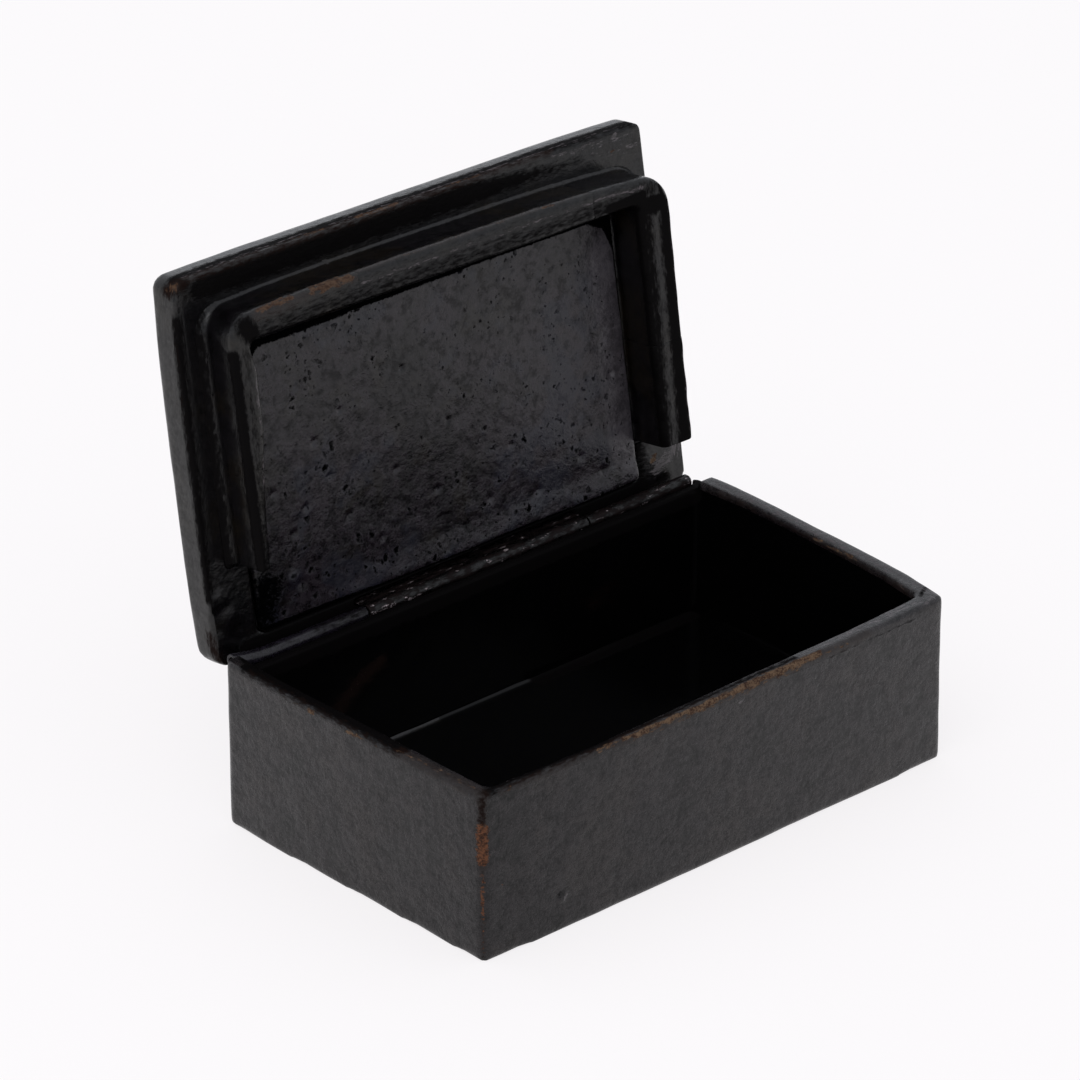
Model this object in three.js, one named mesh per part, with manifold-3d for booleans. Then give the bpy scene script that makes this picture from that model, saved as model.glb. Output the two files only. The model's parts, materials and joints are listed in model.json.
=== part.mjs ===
// A rectangular snuff box of black lacquered papier-mache, with its lid standing open.
// Millimetres. X runs along the long front, -Y is the front, +Z is up.
// The origin is the middle of the underside. The hinge lies along the top of the back wall.

import * as THREE from 'three';
import { mergeVertices } from 'three/addons/utils/BufferGeometryUtils.js';
import Module from 'manifold-3d';

const wasm = await Module();
wasm.setup();

// Driving dimensions of the box. It is a little longer at the hinge than at the front, the two
// ends aren't quite in line, the front and sides bow outwards, and the walls differ.
const boxFrontLength = 80.4;
const boxFrontShift = 0.2;
const boxRearLength = 82.6;
const boxRearShift = -0.5;
const frontBow = 0.55;
const leftBow = 0.1;
const rightBow = 0.95;
const boxDepth = 49.5;
const boxHeight = 24.2;
const frontWallAtLeft = 1.4;
const frontWallAtRight = 2.7;
const leftWall = 2.3;
const rightWall = 2.6;
const backWall = 3.0;
const floorThickness = 4.1;
const boxFrontCorner = 1.0;
const boxRearCorner = 1.4;
const cavityCorner = 1.0;
const wallEdgeRound = 0.45;
const wallFootCut = 0.2;
const floorEdgeRound = 0.5;

// Driving dimensions of the lid. It reaches past the front, more at the left than at the
// right, and a little past the back.
const lidThickness = 5.0;
const lidLeftOverhang = 3.0;
const lidRightOverhang = 1.75;
const lidRearOverhang = 0.8;
const lidFrontBow = 0.2;
const lidLeftBow = 0.5;
const lidCorner = 2.0;
const lidFrontRightCorner = 1.0;
const lidEdgeRound = 0.95;
const lidRearRound = 3.4;
const openAngle = 99;

// How far the ends of the lid stand outside the ends of the box, at the front and the rear.
const lidFrontPastLeft = 0.2;
const lidFrontPastRight = -0.8;
const lidRearPastLeft = -1.1;
const lidRearPastRight = 0.4;

// The strips round the underside of the lid, which drop inside the walls. The right one is
// splayed outwards towards the front.
const rimHeight = 6.4;
const rimFrontWidthAtLeft = 4.0;
const rimFrontWidthAtRight = 3.5;
const rimLeftWidth = 2.7;
const rimRightWidth = 5.1;
const rimRightSplay = 0.5;
const rimLeftCorner = 3.6;
const rimRightCorner = 5.0;
const rimInnerCorner = 1.2;
const rimEdgeRound = 0.8;
const rimClearanceFrontLeft = 0.5;
const rimClearanceFrontRight = 0.8;
const rimClearanceLeft = 1.4;
const rimClearanceRight = 0.35;

// Where the strips end and meet, from the middle of the lid and from its rear edge.
const leftJointX = -15.3;
const rightJointX = 25.0;
const rightJointFromRear = 23.2;
const leftEndFromRear = 13.7;
const rightEndFromRear = 8.6;

// The lining panel between the strips, let into the lid board and standing a little proud.
const panelProud = 0.6;
const panelSeatDepth = 0.9;
const panelFromRear = 3.0;
const panelCornerRadius = 1.2;
const panelEdgeRound = 0.45;

// The hinge: three tubes on one pin, each rolled from a strip whose leaf is let into a kerf.
const barrelRadius = 1.05;
const pinRadius = 0.45;
const pinClearance = 0.1;
const leafThickness = 0.35;
const boxLeafDepth = 5.0;
const lidLeafDepth = 2.3;
const axisBelowTop = 1.75;
const lipBelowTop = 1.4;
const hingeLeftInset = 2.9;
const hingeRightInset = 1.3;
const leftKnuckleJoint = -17.7;
const rightKnuckleJoint = 20.9;

// Clearances.
const fitGap = 0.3;
const lidGap = 0.3;

// How finely curves are cut.
const cornerSteps = 5;
const sideStep = 7;
const edgeSteps = 3;
const lidEdgeSteps = 4;
const lidRearSteps = 6;
const barrelSteps = 24;

// Sizes that follow from the ones above.
const frontY = -boxDepth / 2;
const backY = boxDepth / 2;
const lidRearY = backY + lidRearOverhang;
const lidUnderZ = boxHeight + lidGap;
const axisY = backY;
const axisZ = boxHeight - axisBelowTop;
const hingeLeftEnd = boxRearShift - boxRearLength / 2 + hingeLeftInset;
const hingeRightEnd = boxRearShift + boxRearLength / 2 - hingeRightInset;
const reach = 2 * boxRearLength;

// How much of its bow a side has at a share of its length. The bow is flat in the middle and
// falls away towards the corners.
function bowShare(share) {
  return 1 - Math.min((2 * share - 1) ** 4, 1);
}

// Where the outside face of the left (-1) or right (1) side would be if it ran straight.
function straightSide(side, y) {
  const share = (y - frontY) / boxDepth;
  const front = side * boxFrontLength / 2 + boxFrontShift;
  const rear = side * boxRearLength / 2 + boxRearShift;
  return front + share * (rear - front);
}

// The same face with its bow.
function bowedSide(side, y) {
  const bow = side < 0 ? leftBow : rightBow;
  return straightSide(side, y) + side * bow * bowShare((y - frontY) / boxDepth);
}

// A closed four-sided outline with rounded corners, anticlockwise from the front left. Each
// corner is [x, y, radius].
function roundedOutline(corners) {
  const path = new THREE.Path();
  const count = corners.length;
  const points = corners.map(([x, y]) => new THREE.Vector2(x, y));
  points.forEach((corner, index) => {
    const radius = corners[index][2];
    const toPrevious = points[(index + count - 1) % count].clone().sub(corner).normalize();
    const toNext = points[(index + 1) % count].clone().sub(corner).normalize();
    const half = Math.acos(toPrevious.dot(toNext)) / 2;
    const tangent = radius / Math.tan(half);
    const middle = toPrevious.clone().add(toNext).normalize();
    const centre = corner.clone().addScaledVector(middle, radius / Math.sin(half));
    const start = corner.clone().addScaledVector(toPrevious, tangent).sub(centre).angle();
    const end = corner.clone().addScaledVector(toNext, tangent).sub(centre).angle();
    path.absarc(centre.x, centre.y, radius, start, end, false);
  });
  path.closePath();
  return path.getPoints(cornerSteps);
}

// Splits the long runs of an outline and bows them outwards, the front, right and left ones
// each by its own amount. The rear runs straight.
function bowed(points, { front = 0, right = 0, left = 0 }) {
  return points.flatMap((point, index) => {
    const run = points[(index + 1) % points.length].clone().sub(point);
    const outward = new THREE.Vector2(run.y, -run.x).normalize();
    const alongX = Math.abs(run.x) > Math.abs(run.y);
    const alongSide = run.y > 0 ? right : left;
    const alongEnds = run.x > 0 ? front : 0;
    const bow = alongX ? alongEnds : alongSide;
    const steps = bow > 0 ? Math.ceil(run.length() / sideStep) : 1;
    return Array.from({ length: steps }, (_, step) => {
      const share = step / steps;
      const place = point.clone().addScaledVector(run, share);
      return place.addScaledVector(outward, bow * bowShare(share));
    });
  });
}

// The plan of the box, moved inwards by one amount for each wall.
function boxPlan(frontLeft, frontRight, left, right, rear, frontCorner, rearCorner) {
  const frontLeftY = frontY + frontLeft;
  const frontRightY = frontY + frontRight;
  const rearY = backY - rear;
  const outline = roundedOutline([
    [straightSide(-1, frontLeftY) + left, frontLeftY, frontCorner],
    [straightSide(1, frontRightY) - right, frontRightY, frontCorner],
    [straightSide(1, rearY) - right, rearY, rearCorner],
    [straightSide(-1, rearY) + left, rearY, rearCorner],
  ]);
  return bowed(outline, { front: frontBow, right: rightBow, left: leftBow });
}

// The plan inside the walls, moved inwards by a gap.
function cavityPlan(gap) {
  return boxPlan(
    frontWallAtLeft + gap, frontWallAtRight + gap,
    leftWall + gap, rightWall + gap, backWall + gap,
    cavityCorner - gap, cavityCorner - gap,
  );
}

// A plate from a plan outline between two heights, with rounded edges where asked.
function plate(outline, bottom, top, edgeRound = 0, steps = edgeSteps) {
  const geometry = new THREE.ExtrudeGeometry(new THREE.Shape(outline), {
    depth: top - bottom - 2 * edgeRound,
    bevelEnabled: edgeRound > 0,
    bevelThickness: edgeRound,
    bevelSize: edgeRound,
    bevelOffset: -edgeRound,
    bevelSegments: steps,
  });
  return geometry.translate(0, 0, bottom + edgeRound);
}

// A frame between an outer and an inner plan outline, with all its long edges rounded.
function frame(outer, inner, bottom, top, edgeRound) {
  const shape = new THREE.Shape(outer);
  shape.holes.push(new THREE.Path(inner));
  const geometry = new THREE.ExtrudeGeometry(shape, {
    depth: top - bottom - 2 * edgeRound,
    bevelThickness: edgeRound,
    bevelSize: edgeRound,
    bevelOffset: -edgeRound,
    bevelSegments: edgeSteps,
  });
  return geometry.translate(0, 0, bottom + edgeRound);
}

// A block between two opposite corners.
function block(x0, y0, z0, x1, y1, z1) {
  const geometry = new THREE.BoxGeometry(x1 - x0, y1 - y0, z1 - z0);
  return geometry.translate((x0 + x1) / 2, (y0 + y1) / 2, (z0 + z1) / 2);
}

// A section drawn across the hinge, in Y and Z, run out along X.
const acrossToAlong = new THREE.Matrix4().makeBasis(
  new THREE.Vector3(0, 1, 0),
  new THREE.Vector3(0, 0, 1),
  new THREE.Vector3(1, 0, 0),
);

function runAlongX(section, x0, x1, curveSegments = barrelSteps) {
  const geometry = new THREE.ExtrudeGeometry(section, {
    depth: x1 - x0,
    bevelEnabled: false,
    curveSegments,
  });
  return geometry.applyMatrix4(acrossToAlong).translate(x0, 0, 0);
}

// Turns a closed three.js geometry into a solid that can be joined and cut.
function solid(geometry) {
  const bare = geometry.index ? geometry.toNonIndexed() : geometry;
  bare.deleteAttribute('normal');
  bare.deleteAttribute('uv');
  const merged = mergeVertices(bare, 1e-5);
  return new wasm.Manifold(new wasm.Mesh({
    numProp: 3,
    vertProperties: merged.attributes.position.array,
    triVerts: merged.index.array,
  }));
}

// Turns a solid back into a three.js geometry.
function geometryOf(shape) {
  const cut = shape.getMesh();
  const geometry = new THREE.BufferGeometry();
  geometry.setAttribute('position', new THREE.BufferAttribute(cut.vertProperties, 3));
  geometry.setIndex(new THREE.BufferAttribute(cut.triVerts, 1));
  const faceted = geometry.toNonIndexed();
  faceted.computeVertexNormals();
  return faceted;
}

const lacquer = { color: 0x0d0c0f, roughness: 0.35, metalness: 0 };
const panelLacquer = { color: 0x1b191f, roughness: 0.25, metalness: 0 };
const hingeMetal = { color: 0x5f5650, roughness: 0.45, metalness: 0.9 };

function piece(name, geometry, look) {
  const mesh = new THREE.Mesh(geometry, new THREE.MeshStandardMaterial(look));
  mesh.name = name;
  return mesh;
}

// The seat of the hinge in the back wall: the lowered lip, which runs out through the right
// corner, the hollow that the tubes lie in, and one kerf for each tube of the box.
function hingeSeat() {
  const x0 = hingeLeftEnd - fitGap;
  const x1 = hingeRightEnd + fitGap;
  const lip = solid(block(
    x0, backY - backWall - wallEdgeRound, boxHeight - lipBelowTop,
    reach, backY + backWall, boxHeight + backWall,
  ));
  const round = new THREE.Shape();
  round.absarc(axisY, axisZ, barrelRadius + fitGap, 0, 2 * Math.PI, false);
  const hollow = solid(runAlongX(round, x0, x1));
  const kerfs = [
    [x0, leftKnuckleJoint + fitGap],
    [rightKnuckleJoint - fitGap, x1],
  ].map(([start, end]) => solid(block(
    start, axisY - barrelRadius - fitGap, axisZ - boxLeafDepth - fitGap,
    end, axisY - barrelRadius + leafThickness + fitGap, axisZ,
  )));
  return kerfs.reduce((seat, kerf) => seat.add(kerf), lip.add(hollow));
}

// The four walls, one shell wound in a ring. Its foot is rubbed flat, which takes most of the
// rounding there away.
function boxWalls() {
  const outer = boxPlan(0, 0, 0, 0, 0, boxFrontCorner, boxRearCorner);
  const shell = solid(frame(outer, cavityPlan(0), -wallFootCut, boxHeight, wallEdgeRound));
  const foot = solid(block(-reach, -reach, -boxHeight, reach, reach, 0));
  const walls = shell.subtract(foot).subtract(hingeSeat());
  return piece('box_walls', geometryOf(walls), lacquer);
}

// The bottom board, let in between the walls.
function boxBottom() {
  const board = plate(cavityPlan(fitGap), 0, floorThickness, floorEdgeRound);
  return piece('box_bottom', board, lacquer);
}

// The section of one tube with its leaf. Direction 1 sends the leaf up and -1 down.
function knuckleSection(leafLength, direction) {
  const leafInner = barrelRadius - leafThickness;
  const meet = Math.acos(leafInner / barrelRadius);
  const section = new THREE.Shape();
  section.moveTo(axisY - barrelRadius, axisZ + direction * leafLength);
  section.lineTo(axisY - barrelRadius, axisZ);
  section.absarc(
    axisY, axisZ, barrelRadius, Math.PI, -direction * (Math.PI + meet), direction < 0);
  section.lineTo(axisY - leafInner, axisZ + direction * leafLength);
  section.closePath();
  const hole = new THREE.Path();
  hole.absarc(axisY, axisZ, pinRadius + pinClearance, 0, 2 * Math.PI, direction > 0);
  section.holes.push(hole);
  return section;
}

function boxKnuckle(name, x0, x1) {
  const section = knuckleSection(boxLeafDepth, -1);
  return piece(name, runAlongX(section, x0, x1), hingeMetal);
}

function lidKnuckle() {
  const section = knuckleSection(lidUnderZ - axisZ + lidLeafDepth, 1);
  const geometry = runAlongX(
    section, leftKnuckleJoint + fitGap / 2, rightKnuckleJoint - fitGap / 2);
  return piece('hinge_knuckle_lid', geometry, hingeMetal);
}

function hingePin() {
  const round = new THREE.Shape();
  round.absarc(axisY, axisZ, pinRadius, 0, 2 * Math.PI, false);
  return piece('hinge_pin', runAlongX(round, hingeLeftEnd, hingeRightEnd), hingeMetal);
}

// The lines that the rim keeps to inside the walls. The right one is that of its rear end.
const rimFrontLeftY = frontY + frontWallAtLeft + rimClearanceFrontLeft;
const rimFrontRightY = frontY + frontWallAtRight + rimClearanceFrontRight;
const rimLeftX = bowedSide(-1, rimFrontLeftY + rimLeftCorner) + leftWall + rimClearanceLeft;
const rimRightX = bowedSide(1, rimFrontRightY + rimRightCorner)
  - rightWall - rimClearanceRight - rimRightSplay;

// A plan inside the strips, moved inwards by a gap.
function insideRim(gap, rearY, radius) {
  const left = rimLeftX + rimLeftWidth + gap;
  const right = rimRightX - rimRightWidth - gap;
  return roundedOutline([
    [left, rimFrontLeftY + rimFrontWidthAtLeft + gap, radius],
    [right, rimFrontRightY + rimFrontWidthAtRight + gap, radius],
    [right, rearY, radius],
    [left, rearY, radius],
  ]);
}

// The plan of the strips' outer faces. The front one bows with the wall that it drops behind.
function outsideRim() {
  const outline = roundedOutline([
    [rimLeftX, rimFrontLeftY, rimLeftCorner],
    [rimRightX + rimRightSplay, rimFrontRightY, rimRightCorner],
    [rimRightX, lidRearY, rimRightCorner],
    [rimLeftX, lidRearY, rimLeftCorner],
  ]);
  return bowed(outline, { front: frontBow });
}

// The outline of the lining panel, moved outwards by a margin.
function panelOutline(margin) {
  return insideRim(
    fitGap - margin, lidRearY - panelFromRear + margin, panelCornerRadius + margin);
}

// The side view of the lid board, with its broad rounding at the rear.
function lidSideView() {
  const top = lidUnderZ + lidThickness;
  const side = new THREE.Shape();
  side.moveTo(-reach, lidUnderZ);
  side.lineTo(lidRearY, lidUnderZ);
  side.lineTo(lidRearY, top - lidRearRound);
  side.absarc(lidRearY - lidRearRound, top - lidRearRound, lidRearRound, 0, Math.PI / 2, false);
  side.lineTo(-reach, top);
  side.closePath();
  return side;
}

// The plan of the lid, from the ends of the box's front and back.
function lidPlan() {
  const outline = roundedOutline([
    [straightSide(-1, frontY) - lidFrontPastLeft, frontY - lidLeftOverhang, lidCorner],
    [straightSide(1, frontY) + lidFrontPastRight, frontY - lidRightOverhang, lidFrontRightCorner],
    [straightSide(1, backY) + lidRearPastRight, lidRearY, lidCorner],
    [straightSide(-1, backY) - lidRearPastLeft, lidRearY, lidCorner],
  ]);
  return bowed(outline, { front: lidFrontBow, left: lidLeftBow });
}

// The lid board: rounded above, square below, with the panel's seat and the leaf's kerf.
function lidBoard() {
  const top = lidUnderZ + lidThickness;
  const blank = solid(plate(
    lidPlan(), lidUnderZ - 2 * lidEdgeRound, top, lidEdgeRound, lidEdgeSteps));
  const sideView = solid(runAlongX(lidSideView(), -reach / 2, reach / 2, lidRearSteps));
  const panelSeat = solid(plate(
    panelOutline(fitGap), lidUnderZ - fitGap, lidUnderZ + panelSeatDepth));
  const kerf = solid(block(
    leftKnuckleJoint - fitGap / 2, axisY - barrelRadius - fitGap, lidUnderZ - fitGap,
    rightKnuckleJoint + fitGap / 2, axisY - barrelRadius + leafThickness + fitGap,
    lidUnderZ + lidLeafDepth + fitGap,
  ));
  const board = blank.intersect(sideView).subtract(panelSeat).subtract(kerf);
  return piece('lid_board', geometryOf(board), lacquer);
}

function lidPanel() {
  const bottom = lidUnderZ - panelProud;
  const top = lidUnderZ + panelSeatDepth - fitGap;
  return piece('lid_panel', plate(panelOutline(0), bottom, top, panelEdgeRound), panelLacquer);
}

// The whole rim as one frame, before it is parted into its strips.
function wholeRim() {
  const inner = insideRim(0, lidRearY - panelFromRear, rimInnerCorner);
  const bottom = lidUnderZ - rimHeight;
  return solid(frame(outsideRim(), inner, bottom, lidUnderZ + rimEdgeRound, rimEdgeRound));
}

// One strip of the rim: what lies between two lengths and in front of one depth.
function rimStrip(name, x0, x1, y0, y1) {
  const top = lidUnderZ - fitGap;
  const part = solid(block(x0, y0, lidUnderZ - 2 * rimHeight, x1, y1, top));
  return piece(name, geometryOf(wholeRim().intersect(part)), lacquer);
}

function rimStrips() {
  const half = fitGap / 2;
  const jointY = lidRearY - rightJointFromRear;
  return [
    rimStrip('rim_left', -reach, leftJointX - half, -reach, lidRearY - leftEndFromRear),
    rimStrip('rim_front', leftJointX + half, rightJointX - half, -reach, 0),
    rimStrip('rim_right', rightJointX + half, reach, -reach, jointY - half),
    rimStrip('rim_right_rear', 0, reach, jointY + half, lidRearY - rightEndFromRear),
  ];
}

// Everything that swings is built as if shut, then turned back about the hinge.
function openLid() {
  const swing = new THREE.Group();
  swing.position.set(0, axisY, axisZ);
  swing.rotation.x = -THREE.MathUtils.degToRad(openAngle);
  const parts = [lidBoard(), lidPanel(), lidKnuckle(), ...rimStrips()];
  parts.forEach((part) => {
    part.position.set(0, -axisY, -axisZ);
    swing.add(part);
  });
  return swing;
}

const snuffBox = new THREE.Group();
snuffBox.add(boxWalls());
snuffBox.add(boxBottom());
snuffBox.add(boxKnuckle('hinge_knuckle_left', hingeLeftEnd, leftKnuckleJoint - fitGap / 2));
snuffBox.add(boxKnuckle('hinge_knuckle_right', rightKnuckleJoint + fitGap / 2, hingeRightEnd));
snuffBox.add(hingePin());
snuffBox.add(openLid());

export default snuffBox;
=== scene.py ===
# %% [markdown]
# A snuff box of black lacquered papier-mache, with its lid standing open.
# The imported model gives every piece its place, so the script starts by loading it.
# Nothing that follows may grow past that box.

# %% Load the model
import json
import math

import bmesh
import bpy
import numpy as np
from mathutils import Matrix, Vector
from mathutils.noise import noise as noise_at


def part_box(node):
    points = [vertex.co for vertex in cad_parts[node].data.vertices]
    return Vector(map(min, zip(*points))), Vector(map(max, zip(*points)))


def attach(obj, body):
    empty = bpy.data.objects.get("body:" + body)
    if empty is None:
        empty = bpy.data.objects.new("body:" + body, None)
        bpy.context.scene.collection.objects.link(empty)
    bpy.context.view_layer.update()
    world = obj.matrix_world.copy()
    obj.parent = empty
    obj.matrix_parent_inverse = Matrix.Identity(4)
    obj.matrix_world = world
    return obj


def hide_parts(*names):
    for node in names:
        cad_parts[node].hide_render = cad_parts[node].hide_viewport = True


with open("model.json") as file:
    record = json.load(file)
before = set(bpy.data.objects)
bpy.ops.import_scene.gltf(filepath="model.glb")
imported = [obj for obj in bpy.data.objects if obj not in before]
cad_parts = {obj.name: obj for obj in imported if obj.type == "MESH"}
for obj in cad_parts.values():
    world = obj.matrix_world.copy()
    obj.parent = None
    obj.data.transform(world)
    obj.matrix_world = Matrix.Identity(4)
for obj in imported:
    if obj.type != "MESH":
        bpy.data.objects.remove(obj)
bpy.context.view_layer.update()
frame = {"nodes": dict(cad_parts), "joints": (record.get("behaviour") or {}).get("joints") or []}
nodes = frame["nodes"]
print("pieces in the model:", sorted(nodes))

# %% [markdown]
# The photograph was taken from in front, from the left and from above, with a long lens.
# The numbers below were found by fitting a box with a hinged lid to its edges. The camera
# looks along its own -Z, so its three axes are written first and then its place.

# %% Camera
PHOTO_SIDE = 1080
FOCAL_PIXELS = 6800
SENSOR = 36
AZIMUTH = math.radians(-40.97)
ELEVATION = math.radians(27.62)
ROLL = math.radians(-0.29)
CAMERA_RIGHT = -0.00672
CAMERA_UP = 0.03263
CAMERA_BACK = 0.8993

back = Vector((
    math.sin(AZIMUTH) * math.cos(ELEVATION),
    -math.cos(AZIMUTH) * math.cos(ELEVATION),
    math.sin(ELEVATION),
))
level = Vector((0, 0, 1)).cross(back).normalized()
upright = back.cross(level)
right = math.cos(ROLL) * level + math.sin(ROLL) * upright
up = math.cos(ROLL) * upright - math.sin(ROLL) * level

camera_data = bpy.data.cameras.new("photo_camera")
camera_data.sensor_width = SENSOR
camera_data.sensor_fit = "HORIZONTAL"
camera_data.lens = FOCAL_PIXELS / PHOTO_SIDE * SENSOR
camera = bpy.data.objects.new("photo_camera", camera_data)
bpy.context.scene.collection.objects.link(camera)
bpy.context.scene.camera = camera
place = CAMERA_RIGHT * right + CAMERA_UP * up + CAMERA_BACK * back
turn = Matrix((right, up, back)).transposed().to_4x4()
camera.matrix_world = Matrix.Translation(place) @ turn
print("camera at", [round(value, 3) for value in place], "lens", round(camera_data.lens, 1))

# %% [markdown]
# The lid swings on one hinge. Each of its pieces is easier to shape as if the lid were
# shut, because then every board lies level. SHUT carries a point of the open lid to where
# it lies when the lid is down, and OPEN carries it back.

# %% Hinge
hinge = frame["joints"][0]
hinge_point = Vector(hinge["pos_m"])
swing = math.radians(hinge["range_deg"][1])
to_hinge = Matrix.Translation(hinge_point)
SHUT = to_hinge @ Matrix.Rotation(swing, 4, "X") @ to_hinge.inverted()
OPEN = SHUT.inverted()
STAY = Matrix.Identity(4)
print("hinge at", list(hinge_point), "swing", hinge["range_deg"][1])

# %% [markdown]
# Marks on the box are easiest to place in millimetres. On the box they are counted from
# the middle of its underside. On the shut lid they are counted from the middle, forwards
# from its rear edge, and down from its underside.

# %% Places in millimetres
MM = 0.001
UNDER_LID = hinge_point.z + 2.05 * MM
LID_REAR = hinge_point.y + 0.8 * MM


def box_at(x, y, z):
    return Vector((x, y, z)) * MM


def lid_at(x, from_rear, below):
    return Vector((x * MM, LID_REAR - from_rear * MM, UNDER_LID - below * MM))


def from_rear(vert):
    return (LID_REAR - vert.co.y) / MM


print("front edge of the lid, 53 mm from its rear:", list(lid_at(0, 53, 0)))

# %% [markdown]
# Every piece of this box was shaped by hand, so no edge is sharp and no face is true. Each
# piece starts as a copy of its node. A voxel remesh gives it an even skin, a little
# smoothing rounds its edges, and noise makes the faces wander. The skin is then stretched
# back to the size of its node, because smoothing makes everything a little smaller.

# %% Mesh tools


def fine_copy(name, voxel, turned, smoothing=1):
    """A copy of a node with an even skin, in the place that turned gives it."""
    mesh = nodes[name].data.copy()
    mesh.transform(turned)
    bm = bmesh.new()
    bm.from_mesh(mesh)
    bmesh.ops.remove_doubles(bm, verts=bm.verts, dist=0.000001)
    bm.to_mesh(mesh)
    low, high = corners_of(bm)
    bm.free()
    helper = bpy.data.objects.new("helper", mesh)
    bpy.context.scene.collection.objects.link(helper)
    remesh = helper.modifiers.new("skin", "REMESH")
    remesh.mode = "VOXEL"
    remesh.voxel_size = voxel
    skin = helper.evaluated_get(bpy.context.evaluated_depsgraph_get()).to_mesh()
    bm = bmesh.new()
    bm.from_mesh(skin)
    bpy.data.objects.remove(helper)
    relax(bm, smoothing)
    fill_corners(bm, low, high)
    return bm


def corners_of(bm):
    places = np.array([vert.co[:] for vert in bm.verts])
    return Vector(places.min(axis=0)), Vector(places.max(axis=0))


def relax(bm, times, strength=0.5):
    for _ in range(times):
        bmesh.ops.smooth_vert(
            bm, verts=bm.verts, factor=strength, use_axis_x=True, use_axis_y=True, use_axis_z=True)


def fill_corners(bm, low, high):
    """Stretches a skin to fill the box between two corners."""
    small, large = corners_of(bm)
    for vert in bm.verts:
        for axis in range(3):
            share = (vert.co[axis] - small[axis]) / (large[axis] - small[axis])
            vert.co[axis] = low[axis] + share * (high[axis] - low[axis])


def wander(bm, size, amount, seed):
    """Moves each vertex along its normal by smooth noise with features of the given size."""
    bm.normal_update()
    shift = Vector((seed * 7.3, seed * 3.1, seed * 5.7))
    for vert in bm.verts:
        vert.co += vert.normal * amount * noise_at(vert.co / size + shift)


def dent(bm, centre, radius, depth):
    """Presses a round hollow, or with a negative depth a blister, into the nearest skin."""
    for vert in bm.verts:
        share = (vert.co - centre).length / radius
        if share < 1:
            vert.co -= vert.normal * depth * (1 - share * share) ** 2


# %% [markdown]
# The wear is what makes this box look old, so it is placed one mark at a time. Each mark is a stroke
# between points, with a radius and a strength, and each vertex keeps how much of it lies under the
# strokes. Red holds tan wear down to the board, green dark brown stain, blue pale scuffing together with
# painted sheen, and alpha the places that have lost their gloss together with painted shade, where a
# dead black stands for shadow and dark reflections. A second attribute, arris, tells how far each vertex
# stands proud of the skin around it.

# %% Wear and arrises
CHANNELS = {"tan": 0, "brown": 1, "pale": 2, "matte": 3}


def read_vectors(values, key, count):
    """Reads a vector of every vertex into rows of an array."""
    numbers = np.empty(count * 3)
    values.foreach_get(key, numbers)
    return numbers.reshape(-1, 3)


def rub(mesh, strokes):
    count = len(mesh.vertices)
    place = read_vectors(mesh.vertices, "co", count)
    wear = np.zeros((count, 4))
    for kind, radius, strength, points in strokes:
        channel = CHANNELS[kind]
        for start, end in zip(points[:-1], points[1:]):
            run = np.array(end) - np.array(start)
            share = np.clip((place - np.array(start)) @ run / max(run @ run, 1e-12), 0, 1)
            away = np.linalg.norm(place - np.array(start) - share[:, None] * run, axis=1)
            amount = strength * np.clip(1 - away / (radius * MM), 0, 1)
            wear[:, channel] = np.maximum(wear[:, channel], amount)
    mesh.attributes.new("wear", "FLOAT_COLOR", "POINT").data.foreach_set(
        "color", wear.ravel().astype(np.float32))


def mark_arrises(mesh, spread):
    count = len(mesh.vertices)
    place = read_vectors(mesh.vertices, "co", count)
    normal = read_vectors(mesh.vertices, "normal", count)
    edge = np.empty(len(mesh.edges) * 2, int)
    mesh.edges.foreach_get("vertices", edge)
    edge = edge.reshape(-1, 2)
    links = np.bincount(edge.ravel(), minlength=count)
    around = place.copy()
    for _ in range(spread):
        total = np.zeros_like(around)
        np.add.at(total, edge[:, 0], around[edge[:, 1]])
        np.add.at(total, edge[:, 1], around[edge[:, 0]])
        around = total / links[:, None]
    proud = ((place - around) * normal).sum(1)
    mesh.attributes.new("arris", "FLOAT", "POINT").data.foreach_set(
        "value", np.clip(proud / 0.0002, -1, 1).astype(np.float32))


def finish_piece(bm, name, turned, body, strokes, *stands_for):
    """Makes the object, marks its wear, turns it back and lets it ride on its body."""
    mesh = bpy.data.meshes.new(name)
    bm.to_mesh(mesh)
    bm.free()
    rub(mesh, strokes)
    mesh.transform(turned)
    mesh.shade_smooth()
    mark_arrises(mesh, 8)
    piece = bpy.data.objects.new(name, mesh)
    bpy.context.scene.collection.objects.link(piece)
    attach(piece, body)
    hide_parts(*stands_for)
    print(name, len(mesh.polygons), "faces")
    return piece


# %% [markdown]
# The box: one wound shell for the walls. The front top edge is rubbed through to the tan
# board along its middle, the near upright edge has a bare orange patch with a thin line
# below it, and the right wall's top is scuffed pale all along.

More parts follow.
